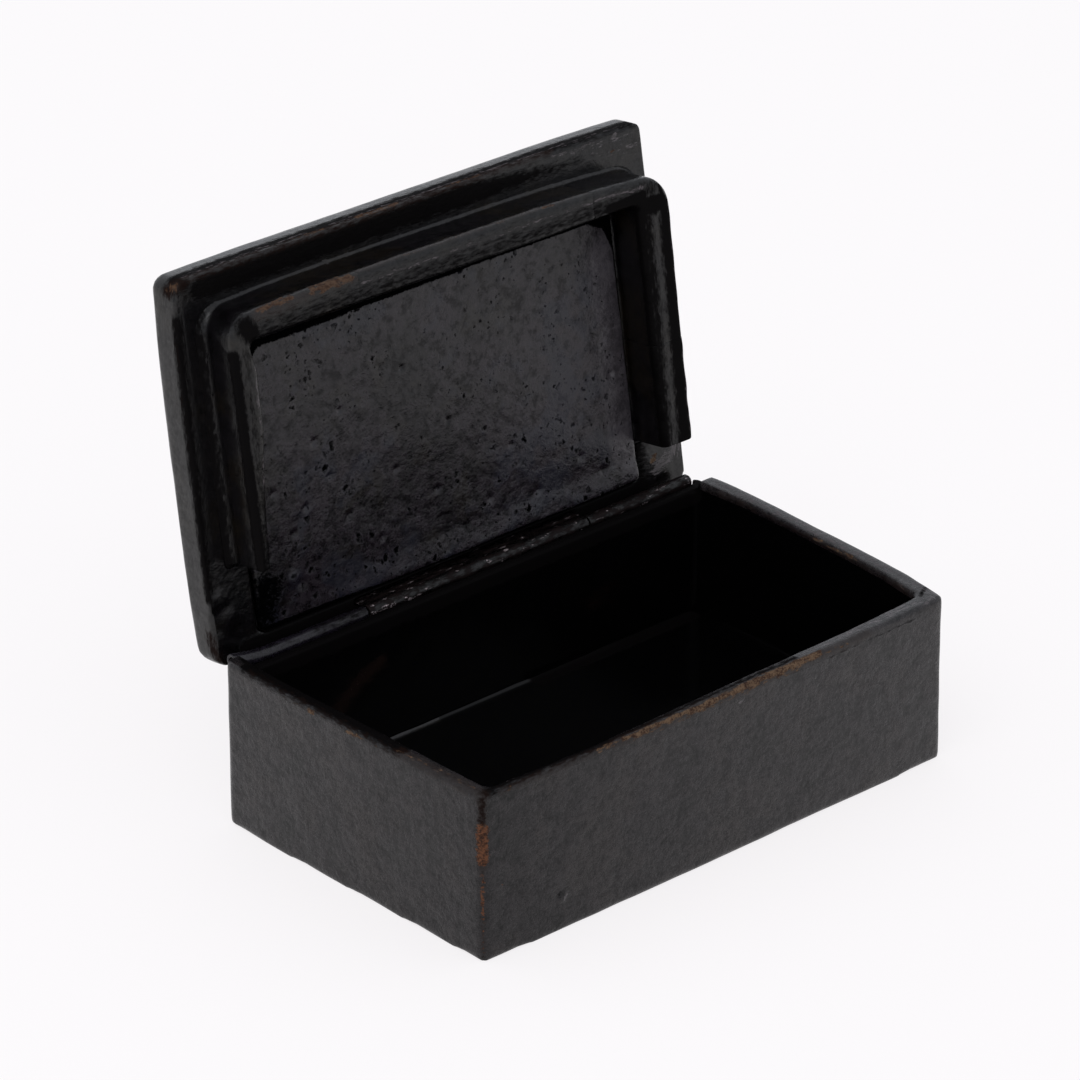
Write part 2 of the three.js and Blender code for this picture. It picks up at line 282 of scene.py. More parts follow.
# %% Box walls
WALL_MARKS = [
    ("tan", 1.5, 1.25, [box_at(-39.9, -24.6, 19.2), box_at(-39.9, -24.6, 14.8)]),
    ("tan", 0.8, 0.72, [box_at(-39.9, -24.6, 12.6), box_at(-39.9, -24.6, 9.6)]),
    ("tan", 0.65, 0.95, [box_at(-39.9, -24.6, 9.4), box_at(-39.9, -24.6, 6.2)]),
    ("tan", 0.6, 0.7, [box_at(-39.9, -24.6, 6.0), box_at(-39.9, -24.6, 1.2)]),
    ("brown", 1.3, 1.0, [box_at(-39.8, -24.5, 23.5), box_at(-39.8, -24.5, 13.6)]),
    ("brown", 0.8, 0.7, [box_at(-39.8, -24.5, 12.8), box_at(-39.8, -24.5, 0.6)]),
    ("matte", 1.3, 0.75, [box_at(-39.8, -24.5, 23.5), box_at(-39.8, -24.5, 20.0)]),
    ("matte", 1.0, 0.5, [box_at(-39.8, -24.5, 20.0), box_at(-39.8, -24.5, 0.2)]),
    ("tan", 0.8, 0.62, [box_at(-36.9, -24.9, 10.4), box_at(-36.7, -24.9, 10.0)]),
    ("pale", 0.35, 1.5, [box_at(3.4, -25.3, 22.0), box_at(3.6, -25.3, 22.0)]),
    ("pale", 0.35, 1.5, [box_at(17.7, -25.2, 21.3), box_at(17.9, -25.2, 21.3)]),
    ("pale", 0.35, 1.3, [box_at(23.4, -25.1, 20.7), box_at(23.6, -25.1, 20.7)]),
    ("pale", 0.3, 1.1, [box_at(-32.6, -25.2, 10.4), box_at(-32.2, -25.2, 11.4)]),
    ("pale", 0.4, 1.6, [box_at(-26.7, -25.3, 4.4), box_at(-26.5, -25.3, 5.1)]),
    # Painted shade in the small hollow beside the blister.
    ("matte", 0.6, 0.9, [box_at(-27.7, -25.3, 4.9), box_at(-27.4, -25.3, 5.5)]),
    ("tan", 0.6, 0.72, [box_at(-21.0, -25.0, 23.8), box_at(-16.6, -25.05, 23.8)]),
    ("tan", 0.55, 1.05, [box_at(-16.6, -25.0, 23.9), box_at(-8.0, -25.15, 23.9)]),
    ("tan", 0.55, 1.0, [box_at(-8.0, -25.1, 23.9), box_at(4.0, -25.1, 23.95)]),
    ("tan", 0.75, 1.1, [box_at(4.0, -25.0, 24.0), box_at(17.6, -24.9, 24.0)]),
    ("tan", 1.1, 0.58, [box_at(-15.0, -25.2, 23.5), box_at(17.0, -25.2, 23.5)]),
    ("brown", 1.5, 1.0, [box_at(-18.0, -25.0, 23.7), box_at(26.0, -25.0, 23.7)]),
    ("tan", 0.5, 0.72, [box_at(17.6, -25.0, 23.7), box_at(22.5, -25.0, 23.6)]),
    ("brown", 1.1, 0.8, [box_at(-37.0, -24.7, 23.8), box_at(-17.0, -25.0, 23.8)]),
    ("tan", 0.5, 0.7, [box_at(-37.4, -24.5, 23.8), box_at(-34.0, -24.8, 23.7)]),
    ("matte", 1.5, 1.0, [box_at(-39.0, -24.0, 23.9), box_at(-19.0, -24.3, 23.9)]),
    ("matte", 1.0, 0.85, [box_at(-19.0, -24.4, 24.1), box_at(14.0, -24.1, 24.1)]),
    ("pale", 0.55, 0.75, [
        box_at(-36.0, -23.6, 24.1), box_at(0.0, -23.4, 24.1), box_at(36.0, -22.7, 24.1)]),
    ("matte", 0.45, 0.6, [box_at(6.0, -25.3, 23.0), box_at(36.0, -24.9, 22.8)]),
    ("pale", 1.2, 0.58, [box_at(15.0, -23.9, 24.1), box_at(36.0, -23.6, 24.1)]),
    ("pale", 1.3, 0.62, [box_at(37.0, -24.0, 24.0), box_at(40.0, -23.8, 24.0)]),
    ("matte", 0.6, 1.2, [box_at(37.9, -22.6, 24.0), box_at(40.0, -21.4, 24.0)]),
    ("pale", 1.6, 0.6, [
        box_at(39.9, -23.0, 24.1), box_at(40.0, -10.0, 24.1), box_at(40.2, 4.0, 24.1),
        box_at(39.9, 19.0, 24.1)]),
    ("matte", 1.5, 0.5, [box_at(39.9, -22.0, 24.1), box_at(39.9, 19.0, 24.1)]),
    ("tan", 0.75, 1.0, [box_at(38.7, -9.0, 24.1), box_at(38.9, -1.0, 24.1)]),
    ("tan", 0.6, 0.8, [
        box_at(37.9, -20.0, 24.1), box_at(38.8, -4.0, 24.1), box_at(38.6, 14.0, 24.1)]),
    ("brown", 1.0, 1.0, [
        box_at(37.9, -20.0, 23.8), box_at(38.8, -4.0, 23.8), box_at(38.4, 17.0, 23.8)]),
    ("matte", 1.9, 1.2, [box_at(-40.5, 21.0, 24.0), box_at(-39.6, -9.0, 24.0)]),
    ("matte", 1.7, 0.4, [box_at(-39.6, -9.0, 24.0), box_at(-38.9, -24.0, 24.0)]),
    ("tan", 0.5, 0.62, [box_at(-41.3, 18.0, 23.6), box_at(-40.6, -6.0, 23.6)]),
    ("tan", 0.7, 0.95, [box_at(-41.2, 7.8, 23.5), box_at(-41.2, 7.0, 23.5)]),
    ("tan", 0.6, 0.85, [box_at(-41.0, 0.2, 23.5), box_at(-40.8, -2.8, 23.5)]),
    ("brown", 1.2, 0.75, [box_at(-41.0, 20.0, 23.7), box_at(-40.0, -22.0, 23.7)]),
    ("pale", 0.7, 0.5, [box_at(-39.6, -10.0, 24.0), box_at(-38.8, -23.6, 24.0)]),
    ("tan", 0.8, 0.72, [box_at(-40.1, -9.0, 23.9), box_at(-39.2, -23.6, 23.9)]),
    ("brown", 1.6, 1.1, [box_at(-40.1, -9.0, 24.0), box_at(-39.2, -24.2, 24.0)]),
    # Painted shade along the back wall's lip under the hinge.
    ("matte", 2.6, 2.4, [box_at(-39.0, 22.4, 22.6), box_at(39.5, 22.4, 22.6)]),
    ("brown", 3.2, 0.8, [box_at(-24.8, 21.7, 12.2), box_at(-22.4, 21.7, 14.2)]),
    ("brown", 2.6, 0.85, [box_at(-22.4, 21.7, 14.2), box_at(-17.8, 21.7, 16.2)]),
    ("brown", 4.2, 0.52, [box_at(19.5, 21.7, 12.0), box_at(22.5, 21.7, 13.0)]),
    ("brown", 2.6, 0.5, [box_at(36.5, 21.0, 8.0), box_at(37.5, 20.0, 10.0)]),
]

walls = fine_copy("box_walls", 0.00039, STAY, 2)
wander(walls, 0.022, 0.00012, 1)
wander(walls, 0.004, 0.00005, 2)
dent(walls, box_at(-27.1, -25.2, 4.9), 0.0011, -0.0003)
dent(walls, box_at(-27.6, -25.2, 5.1), 0.0009, 0.0003)
for vert in walls.verts:
    vert.co.z = max(vert.co.z, 0)
walls_piece = finish_piece(walls, "walls", STAY, "box", WALL_MARKS, "box_walls")

# %% [markdown]
# The bottom board sits inside the walls, and the lacquer has run into a small hollow curve
# in the corner all round. The board's upper edge is drawn out to the walls and swept up
# along a quarter circle, which makes that curve.

# %% Box bottom
HOLLOW = 0.0009
BOTTOM_GAP = 0.0003
# Painted shade: dead black dims the highlight on the right of the floor's hollow curve.
BOTTOM_MARKS = [("matte", 2.2, 1.6, [box_at(9.5, 21.2, 4.4), box_at(37.0, 21.2, 4.4)])]

low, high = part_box("box_bottom")
bottom = fine_copy("box_bottom", 0.0004, STAY)
for vert in bottom.verts:
    edge_distance = min(
        min(vert.co[axis] - low[axis], high[axis] - vert.co[axis]) for axis in (0, 1))
    if vert.co.z > high.z - 0.002 and edge_distance < HOLLOW:
        reach = HOLLOW - max(edge_distance, 0)
        vert.co.z = high.z + HOLLOW - math.sqrt(max(HOLLOW ** 2 - reach ** 2, 0))
    for axis in (0, 1):
        middle = (low[axis] + high[axis]) / 2
        side = 1 if vert.co[axis] > middle else -1
        vert.co[axis] += side * (BOTTOM_GAP + 0.0002)
wander(bottom, 0.012, 0.00006, 3)
for vert in bottom.verts:
    vert.co.z = max(vert.co.z, 0)
bottom_piece = finish_piece(bottom, "bottom", STAY, "box", BOTTOM_MARKS, "box_bottom")

# %% [markdown]
# The lid board is rounded above and nearly square below. Its front arris is rubbed in patches and its
# corner is bare at the left. Behind the end of the right strip the underside is worn to greyish board,
# and that pale patch is also painted light. Dead black is painted shade beside that patch, along the
# rear edge by the hinge and on the border before the left and front strips, and the right end of that
# border has a painted pale sheen.

# %% Lid board
LID_MARKS = [
    # Painted shade beside the rear end of the right strip.
    ("matte", 2.8, 0.75, [lid_at(33.4, 8.6, 0.0), lid_at(33.2, 1.5, 0.0)]),
    ("tan", 1.3, 0.95, [lid_at(-40.6, 52.4, -1.2), lid_at(-39.8, 52.7, -0.2)]),
    ("brown", 2.0, 1.1, [lid_at(-40.6, 51.9, -1.5), lid_at(-38.9, 52.7, -0.2)]),
    ("matte", 2.4, 0.9, [lid_at(-40.4, 51.9, -1.5), lid_at(-38.5, 52.6, 0.0)]),
    ("pale", 0.4, 0.8, [lid_at(-38.6, 53.0, 0.0), lid_at(-37.4, 53.2, 0.0)]),
    ("tan", 0.8, 0.95, [lid_at(-9.3, 53.1, -0.4), lid_at(-2.6, 53.0, -0.3)]),
    ("tan", 0.7, 0.8, [lid_at(-20.1, 53.2, -0.3), lid_at(-14.8, 53.2, -0.3)]),
    ("tan", 0.6, 0.75, [lid_at(5.5, 52.9, -0.3), lid_at(11.8, 52.8, -0.3)]),
    ("brown", 1.2, 1.0, [lid_at(-38.0, 53.0, -0.2), lid_at(24.0, 52.5, -0.2)]),
    ("matte", 2.1, 1.05, [lid_at(-39.0, 53.3, -1.2), lid_at(39.0, 52.3, -1.2)]),
    # Painted sheen on the right end of the front border.
    ("pale", 3.0, 0.36, [lid_at(31.0, 50.0, 0.0), lid_at(39.0, 49.0, 0.0)]),
    # Painted shade on the front border.
    ("matte", 2.8, 1.3, [lid_at(-36.0, 51.4, 0.0), lid_at(6.0, 50.9, 0.0)]),
    # Painted shade on the left border.
    ("matte", 1.7, 0.9, [lid_at(-40.2, 48.0, 0.0), lid_at(-40.9, 10.0, 0.0)]),
    # More painted sheen on the right of the front border.
    ("pale", 1.3, 0.45, [lid_at(24.0, 51.6, 0.0), lid_at(38.0, 50.8, 0.0)]),
    ("tan", 0.5, 0.72, [lid_at(-40.9, 49.5, -0.1), lid_at(-41.3, 44.0, -0.1)]),
    ("brown", 0.8, 0.85, [lid_at(-40.9, 51.0, -0.2), lid_at(-41.4, 28.0, -0.2)]),
    ("brown", 2.2, 1.0, [lid_at(-41.3, 4.2, -1.0), lid_at(-41.0, 0.8, -0.4)]),
    ("matte", 2.4, 0.9, [lid_at(-41.3, 4.2, -1.0), lid_at(-41.0, 0.8, -0.4)]),
    # Painted shade along the rear edge by the hinge.
    ("matte", 1.8, 1.6, [lid_at(-36.0, 1.6, 0.0), lid_at(33.0, 1.6, 0.0)]),
    # Worn greyish board behind the right strip, with painted light.
    ("pale", 2.4, 0.8, [lid_at(36.2, 3.4, 0.0), lid_at(40.4, 5.6, 0.0)]),
    ("tan", 0.8, 0.95, [lid_at(35.4, 4.8, 0.0), lid_at(36.0, 5.2, 0.0)]),
    ("pale", 0.45, 1.5, [lid_at(34.7, 51.2, 0.0), lid_at(35.2, 51.5, 0.0)]),
    ("tan", 0.6, 0.8, [lid_at(34.2, 49.4, 0.0), lid_at(34.6, 49.7, 0.0)]),
    ("pale", 1.1, 0.52, [lid_at(-38.0, 53.4, -0.9), lid_at(38.0, 52.4, -0.9)]),
]
# Painted shade on the front border, fading out towards the right.
LID_MARKS += [
    ("matte", 2.8 - 0.13 * step, 1.3 - 0.1 * step, [
        lid_at(6 + 2.5 * step, 50.9 - 0.12 * step, 0.0),
        lid_at(8.5 + 2.5 * step, 50.8 - 0.12 * step, 0.0)])
    for step in range(10)
]
LIP_HEIGHT = 0.00025
LIP_START = 48.5
LIP_WIDTH = 4.0

board = fine_copy("lid_board", 0.00035, SHUT, 2)
board.normal_update()
for vert in board.verts:
    if vert.normal.z < -0.5:
        share = min(max((from_rear(vert) - LIP_START) / LIP_WIDTH, 0), 1)
        leftward = min(max((16 - vert.co.x / MM) / 14, -0.6), 1)
        vert.co.z -= LIP_HEIGHT * share * share * leftward
wander(board, 0.026, 0.00014, 4)
wander(board, 0.004, 0.00004, 5)
for x, place, lift in ((-39.6, 9.4, 0.14), (-38.4, 6.4, 0.18), (-39.4, 4.0, 0.16)):
    dent(board, lid_at(x, place, 0), 0.0022, -lift * MM)
board_piece = finish_piece(board, "lid_plate", OPEN, "lid", LID_MARKS, "lid_board")

# %% [markdown]
# The lining panel swells along its lower edge, just above the hinge. That swelling faces a
# little more upwards than the rest, so it catches the light of the sky as a bluish sheen.

# %% Lining panel
SWELL_HEIGHT = 0.0005
SWELL_START = 3.0
SWELL_WIDTH = 3.6
TOP_GAP = 0.0003
PANEL_MARKS = [
    # Painted shadow along the panel's top edge, in the gap under the front strip, and painted shade in
    # its top corners.
    ("matte", 1.5, 2.0, [lid_at(-30.5, 42.3, 0.6), lid_at(-14.0, 42.2, 0.6)]),
    ("matte", 1.2, 2.0, [lid_at(-14.0, 42.2, 0.6), lid_at(6.0, 42.0, 0.6)]),
    ("matte", 0.95, 2.0, [lid_at(6.0, 42.0, 0.6), lid_at(30.0, 41.7, 0.6)]),
    ("matte", 1.3, 1.6, [
        lid_at(-31.0, 37.5, 0.6), lid_at(-30.4, 40.8, 0.6), lid_at(-28.0, 42.6, 0.6)]),
    ("matte", 1.0, 1.4, [
        lid_at(28.2, 41.6, 0.6), lid_at(31.2, 40.2, 0.6), lid_at(32.8, 36.2, 0.6)]),
    ("matte", 2.4, 1.6, [lid_at(31.6, 42.4, 0.6), lid_at(33.4, 40.6, 0.6)]),
    # Painted sheen down the right side of the panel.
    ("pale", 5.5, 1.3, [lid_at(31.8, 35.5, 0.6), lid_at(32.2, 8.0, 0.6)]),
    # Painted shade along the lower edge by the hinge and over the lower left of the panel.
    ("matte", 0.8, 2.0, [lid_at(-34.2, 3.1, 0.4), lid_at(33.5, 3.1, 0.4)]),
    ("matte", 7.5, 0.72, [lid_at(-35.0, 3.6, 0.6), lid_at(-32.0, 8.5, 0.6)]),
    ("matte", 1.6, 0.9, [lid_at(-34.2, 3.6, 0.6), lid_at(-34.4, 12.0, 0.6)]),
    # Painted sheen along the swelling of the lower edge.
    ("pale", 2.0, 0.22, [lid_at(-24.0, 4.6, 0.6), lid_at(-2.0, 5.0, 0.6)]),
]
PANEL_PITS = [
    (-21.4, 25.8, 0.75), (-2.0, 12.9, 0.8), (-16.6, 28.7, 0.6), (-31.4, 12.5, 0.8),
    (-17.1, 14.2, 0.75), (29.4, 19.3, 0.7), (0.9, 21.7, 0.6), (-24.0, 17.5, 0.7),
    (-19.5, 20.4, 0.6), (-26.5, 14.6, 0.7), (-12.2, 9.4, 0.7), (6.5, 8.8, 0.7),
    (14.8, 7.2, 0.8), (22.6, 9.5, 0.7), (26.4, 6.4, 0.75), (-8.6, 17.8, 0.6),
    (-29.0, 21.0, 0.65), (11.0, 15.0, 0.55), (18.2, 26.3, 0.55), (-5.8, 31.2, 0.55),
]
# Painted shade inside the pits.
PANEL_MARKS += [
    ("matte", 0.55 * radius, 1.6, [lid_at(x, place, 0.8), lid_at(x + 0.3, place - 0.2, 0.8)])
    for x, place, radius in PANEL_PITS
]

panel = fine_copy("lid_panel", 0.0003, SHUT, 2)
wander(panel, 0.012, 0.00014, 6)
wander(panel, 0.0028, 0.00005, 7)
for vert in panel.verts:
    along = min(max((vert.co.x / MM + 26) / 18, 0), 1)
    share = 1 - min(max((from_rear(vert) - SWELL_START) / SWELL_WIDTH, 0), 1)
    if vert.co.z < UNDER_LID:
        vert.co.z -= SWELL_HEIGHT * share * along
    top_share = min(max((from_rear(vert) - 36) / 8, 0), 1)
    vert.co.y += TOP_GAP * top_share * top_share
panel.normal_update()
for x, place, radius in PANEL_PITS:
    dent(panel, lid_at(x, place, 0.6), radius * MM, 0.45 * radius * MM)
dent(panel, lid_at(-26.3, 7.5, 0.6), 0.0012, 0.0005)
dent(panel, lid_at(-27.6, 8.6, 0.6), 0.0012, -0.0003)
panel_piece = finish_piece(panel, "lining_panel", OPEN, "lid", PANEL_MARKS, "lid_panel")

# %% [markdown]
# The rim strips were glued to the lid and then lacquered over, and the lacquer gathered in
# a small hollow curve where they meet the board. Near the board each strip's skin is moved
# out along a quarter circle, which makes that curve, and its foot is sunk in the board.

# %% Rim strips
FRONT_FILLET = 0.00078
LEFT_FILLET = 0.0014
RIGHT_FILLET = 0.0006
FOOT = 0.00042
FRONT_JOINTS = (-15.3, 25.0)
SIDE_JOINT = 23.2
JOINT_OVERLAP = 0.00022
BEND_PLACES = (8.6, 15, 20, 27, 32, 40, 45)
BEND_SHIFTS = (-1.0, -0.9, -0.6, 0.1, 0.8, 1.0, 0.0)
RIM_MARKS = {
    "rim_left": [
        ("tan", 1.1, 0.78, [lid_at(-31.6, 48.2, 6.1), lid_at(-26.4, 48.2, 6.1)]),
        ("brown", 1.8, 0.9, [lid_at(-32.0, 47.6, 6.2), lid_at(-24.0, 47.8, 6.2)]),
        ("tan", 1.4, 0.88, [lid_at(-22.6, 48.2, 6.1), lid_at(-16.6, 48.1, 6.1)]),
        ("brown", 1.4, 0.8, [lid_at(-22.6, 47.9, 6.1), lid_at(-15.6, 47.8, 6.1)]),
        # Painted shadow along the inner edge, by the gap to the panel.
        ("matte", 4.6, 0.58, [lid_at(-32.0, 45.4, 6.4), lid_at(-15.0, 45.4, 6.4)]),
        # Painted shade in the inner front-left corner.
        ("matte", 2.4, 1.3, [lid_at(-34.2, 46.6, 6.4), lid_at(-33.4, 45.6, 6.4)]),
        ("matte", 1.7, 1.6, [lid_at(-36.8, 43.0, 6.2), lid_at(-36.8, 9.0, 6.2)]),
        ("matte", 2.6, 0.5, [lid_at(-34.6, 43.5, 6.3), lid_at(-35.4, 9.0, 6.3)]),
        ("pale", 0.8, 0.5, [lid_at(-33.4, 42.0, 6.3), lid_at(-34.8, 14.0, 6.3)]),
        # Painted shade that dims the highlight on the hollow curve at the strip's foot.
        ("matte", 2.2, 0.9, [lid_at(-37.4, 45.0, 0.2), lid_at(-37.4, 8.0, 0.2)]),
        ("matte", 1.8, 0.8, [lid_at(-37.4, 46.0, 0.2), lid_at(-36.4, 48.2, 0.2)]),
    ],
    "rim_front": [
        # Painted shadow along the inner edge, by the gap to the panel.
        ("matte", 4.6, 0.58, [lid_at(-15.0, 45.4, 6.4), lid_at(24.8, 44.6, 6.4)]),
        ("pale", 0.7, 0.5, [lid_at(-15.0, 46.8, 6.4), lid_at(24.8, 46.2, 6.4)]),
        ("tan", 0.5, 0.75, [lid_at(-7.6, 48.4, 6.0), lid_at(-5.4, 48.4, 6.0)]),
        ("tan", 0.5, 0.7, [lid_at(1.6, 48.2, 6.0), lid_at(3.2, 48.2, 6.0)]),
        ("tan", 0.5, 0.75, [lid_at(8.4, 48.1, 6.0), lid_at(10.6, 48.0, 6.0)]),
        ("tan", 0.5, 0.8, [lid_at(16.6, 47.8, 6.0), lid_at(18.6, 47.7, 6.0)]),
        ("brown", 0.9, 0.9, [lid_at(-15.0, 48.5, 5.8), lid_at(24.8, 47.8, 5.8)]),
    ],
    "rim_right": [
        # Painted shadow along the inner edge, and painted shade in the inner front-right corner.
        ("matte", 4.6, 0.64, [lid_at(25.2, 44.6, 6.4), lid_at(35.0, 44.6, 6.4)]),
        ("matte", 1.9, 2.0, [lid_at(28.5, 43.2, 6.0), lid_at(36.2, 42.8, 6.0)]),
        ("pale", 0.8, 0.55, [lid_at(25.2, 46.2, 6.4), lid_at(34.0, 45.6, 6.4)]),
        ("matte", 2.2, 1.6, [lid_at(32.8, 43.4, 5.6), lid_at(35.2, 42.4, 5.6)]),
        ("matte", 0.8, 1.6, [lid_at(35.2, 43.6, 6.3), lid_at(37.4, 42.4, 6.3)]),
        ("matte", 0.5, 1.6, [lid_at(36.6, 45.6, 6.4), lid_at(36.9, 43.0, 6.4)]),
        # Painted shade in the dark bands along the strip.
        ("matte", 2.7, 1.3, [lid_at(37.5, 41.4, 6.3), lid_at(37.2, 23.6, 6.3)]),
        ("matte", 1.4, 1.6, [lid_at(32.7, 43.4, 6.1), lid_at(32.5, 23.6, 6.1)]),
        ("matte", 2.4, 0.8, [lid_at(33.8, 41.4, 6.4), lid_at(33.6, 23.6, 6.4)]),
        ("pale", 0.8, 0.75, [lid_at(38.0, 42.0, 6.2), lid_at(37.9, 24.0, 6.2)]),
        # Painted shade in the inner front-right corner.
        ("matte", 1.1, 1.6, [lid_at(27.5, 44.3, 6.4), lid_at(33.5, 44.6, 6.4)]),
    ],
    "rim_right_rear": [
        # Painted shade in the dark bands along the strip.
        ("matte", 2.7, 1.4, [lid_at(37.1, 23.0, 6.3), lid_at(36.8, 9.0, 6.3)]),
        ("matte", 1.4, 1.6, [lid_at(32.4, 23.0, 6.1), lid_at(32.2, 9.0, 6.1)]),
        ("matte", 2.4, 0.8, [lid_at(33.4, 23.0, 6.4), lid_at(33.2, 9.0, 6.4)]),
        ("pale", 0.8, 0.8, [lid_at(37.8, 23.0, 6.2), lid_at(37.6, 9.0, 6.2)]),
    ],
}


def close_joints(strip):
    """Lets neighbouring strips meet, with a shallow groove where their edges are round."""
    joints = [(0, place * MM) for place in FRONT_JOINTS]
    if min(vert.co.x for vert in strip.verts) > 0:
        joints.append((1, LID_REAR - SIDE_JOINT * MM))
    for vert in strip.verts:
        for axis, place in joints:
            away = vert.co[axis] - place
            if abs(away) < 0.0006:
                vert.co[axis] -= math.copysign(JOINT_OVERLAP, away)


def bend_inner_edge(strip):
    """The left strip was cut crooked: its inner edge leans in at the front and out behind."""
    for vert in strip.verts:
        inward = min(max((vert.co.x / MM + 36.4) / 1.4, 0), 1)
        if from_rear(vert) < 44.5 and vert.co.x < -0.033:
            vert.co.x += MM * inward * np.interp(from_rear(vert), BEND_PLACES, BEND_SHIFTS)


def flare_foot(strip):
    """Spreads the foot of a strip into a hollow curve that meets the board."""
    strip.normal_update()
    for vert in strip.verts:
        depth = UNDER_LID - vert.co.z
        outward = Vector((vert.normal.x, vert.normal.y, 0))
        side_fillet = LEFT_FILLET if vert.co.x < 0 else RIGHT_FILLET
        radius = FRONT_FILLET + (side_fillet - FRONT_FILLET) * abs(vert.normal.x)
        if depth < radius:
            rise = radius * max(depth - FOOT, 0) / (radius - FOOT)
            vert.co.z = UNDER_LID + 0.00003 - rise
            if outward.length > 0.3:
                flare = radius - math.sqrt(max(radius ** 2 - (radius - rise) ** 2, 0))
                vert.co += outward.normalized() * flare


def rim_strip(name, lumps, seed):
    strip = fine_copy(name, 0.00018, SHUT, 2)
    close_joints(strip)
    if name == "rim_left":
        bend_inner_edge(strip)
    flare_foot(strip)
    wander(strip, 0.016, 0.0001, seed)
    wander(strip, 0.0026, lumps, seed + 1)
    return finish_piece(strip, name + "_strip", OPEN, "lid", RIM_MARKS[name], name)


rim_pieces = [
    rim_strip("rim_left", 0.00005, 11),
    rim_strip("rim_front", 0.00005, 13),
    rim_strip("rim_right", 0.00007, 15),
    rim_strip("rim_right_rear", 0.00014, 17),
]

# %% [markdown]
# The hinge tubes were lacquered over with the box. At the left the lacquer has filled the
# gap round the tube and its end lifts towards the lid's corner. The others are pitted.

# %% Hinge tubes
LIFT_START = -34.0
LIFT_END = -40.3
END_LIFT = 0.0009
TUBE_MARKS = [
    # Painted shade that dims the left tube's highlight towards its joint.
    ("matte", 2.4, 0.35, [box_at(-33.0, 24.4, 23.2), box_at(-26.0, 24.4, 23.2)]),
    ("matte", 2.4, 0.62, [box_at(-26.0, 24.4, 23.2), box_at(-18.0, 24.4, 23.2)]),
]


def hinge_tube(name, lumps, seed):
    tube = fine_copy(name, 0.00014, STAY if name != "hinge_knuckle_lid" else SHUT)
    if name == "hinge_knuckle_left":
        start = min(vert.co.x for vert in tube.verts)
        for vert in tube.verts:
            share = max((LIFT_START * MM - vert.co.x) / (LIFT_START * MM - start), 0)
            vert.co.x -= (start - LIFT_END * MM) * share ** 2
            vert.co.z += END_LIFT * share ** 2
    wander(tube, 0.009, 0.00006, seed)
    wander(tube, 0.0012, lumps, seed + 1)
    turned = OPEN if name == "hinge_knuckle_lid" else STAY
    body = "lid" if name == "hinge_knuckle_lid" else "box"
    return finish_piece(
        tube, name.replace("knuckle", "tube"), turned, body, TUBE_MARKS, name)


left_tube = hinge_tube("hinge_knuckle_left", 0.00002, 21)
other_tubes = [
    hinge_tube("hinge_knuckle_lid", 0.00006, 23),
    hinge_tube("hinge_knuckle_right", 0.00005, 25),
]

# %% [markdown]
# A finish is a node tree. The class Finish holds one, with a single method that adds any
# node, and the class Wire wraps one socket, so that an expression such as 1 - mask adds
# the Math nodes that work it out.

# %% Shader helpers


class Wire:
    """One output socket of a finish, with arithmetic on it."""

    def __init__(self, finish, socket):
        self.finish = finish
        self.socket = socket

    def math(self, operation, *values):
        return self.finish.node("ShaderNodeMath", {"operation": operation}, *values)

    def __add__(self, other):
        return self.math("ADD", self, other)

    __radd__ = __add__

    def __mul__(self, other):
        return self.math("MULTIPLY", self, other)

    __rmul__ = __mul__

    def __sub__(self, other):
        return self.math("SUBTRACT", self, other)

    def __rsub__(self, other):
        return self.math("SUBTRACT", other, self)

    def highest(self, other):
        return self.math("MAXIMUM", self, other)

    def size(self):
        return self.math("ABSOLUTE", self)

    def between(self, start, end):
        """0 below start, 1 above end, and a smooth slope between."""
        return self.finish.node(
            "ShaderNodeMapRange", {"interpolation_type": "SMOOTHSTEP"},
            self, start, end, 0.0, 1.0)

    def feed(self, socket):
        self.finish.tree.links.new(self.socket, self.finish.shader.inputs[socket])


